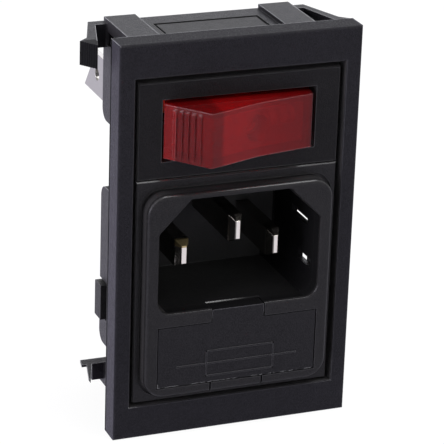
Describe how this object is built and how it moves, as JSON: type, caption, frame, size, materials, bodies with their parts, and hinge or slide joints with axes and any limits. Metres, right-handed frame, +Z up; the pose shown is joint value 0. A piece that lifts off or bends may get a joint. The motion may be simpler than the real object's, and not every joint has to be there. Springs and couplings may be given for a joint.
{
  "type": "c14 panel inlet socket",
  "caption": "Snap-in panel inlet for a C13 mains connector, with a red rocker switch above it and a pull-out fuse drawer below its keyed socket.",
  "frame": {"origin": "centre of the bezel's flange, on the plane where the flange seats against the panel", "axes": "+X to the right seen from the front, +Y into the panel, +Z up towards the switch"},
  "size_m": [0.041, 0.0377, 0.0592],
  "materials": {
    "bezel_black": "fine matt moulded",
    "housing_black": "fine matt moulded",
    "drawer_black": "fine matt moulded",
    "cover_black": "fine matt moulded",
    "rocker_red": "translucent red, polished",
    "plated_brass": "nickel plated, satin",
    "bare_brass": "rolled strip",
    "spring_steel": "drawn wire",
    "contact_silver": "satin",
    "nylon_white": "natural nylon",
    "resistor_body": "lacquered",
    "clear_glass": "clear",
    "cap_nickel": "nickel plated"
  },
  "bodies": {
    "housing": {"bezel_frame": "bezel_black", "switch_housing": "housing_black", "inlet_housing": "housing_black", "rear_cover": "cover_black", "common_terminal": "plated_brass", "lamp_terminal": "plated_brass", "load_terminal": "plated_brass", "fixed_rivet": "contact_silver", "line_pin": "plated_brass", "neutral_pin": "plated_brass", "earth_pin": "plated_brass", "line_fuse_clip": "plated_brass", "load_fuse_clip": "plated_brass"},
    "rocker": {"rocker": "rocker_red", "plunger": "nylon_white", "plunger_spring": "spring_steel", "neon_lamp": "clear_glass", "lamp_resistor": "resistor_body"},
    "blade": {"contact_blade": "bare_brass", "blade_rivet": "contact_silver"},
    "drawer": {"fuse_drawer": "drawer_black", "fuse_tube": "clear_glass", "fuse_cap_left": "cap_nickel", "fuse_cap_right": "cap_nickel", "fuse_wire": "spring_steel", "spare_fuse_tube": "clear_glass", "spare_fuse_cap_left": "cap_nickel", "spare_fuse_cap_right": "cap_nickel", "spare_fuse_wire": "spring_steel"}
  },
  "joints": [
    {"name": "rocker_tilt", "type": "hinge", "parent": "housing", "child": "rocker", "pos_m": [0, 0.00067, 0.01665], "axis": [0, 0, 1], "range_deg": [-30.2, 0]},
    {"name": "blade_tilt", "type": "hinge", "parent": "housing", "child": "blade", "pos_m": [0, 0.0105, 0.01665], "axis": [0, 0, 1], "range_deg": [0, 16]},
    {"name": "drawer_slide", "type": "slide", "parent": "housing", "child": "drawer", "axis": [0, -1, 0], "range_m": [0, 0.0145]}
  ],
  "couplings": [
    {"joint": "blade_tilt", "follows": "rocker_tilt", "ratio": -0.5298}
  ]
}
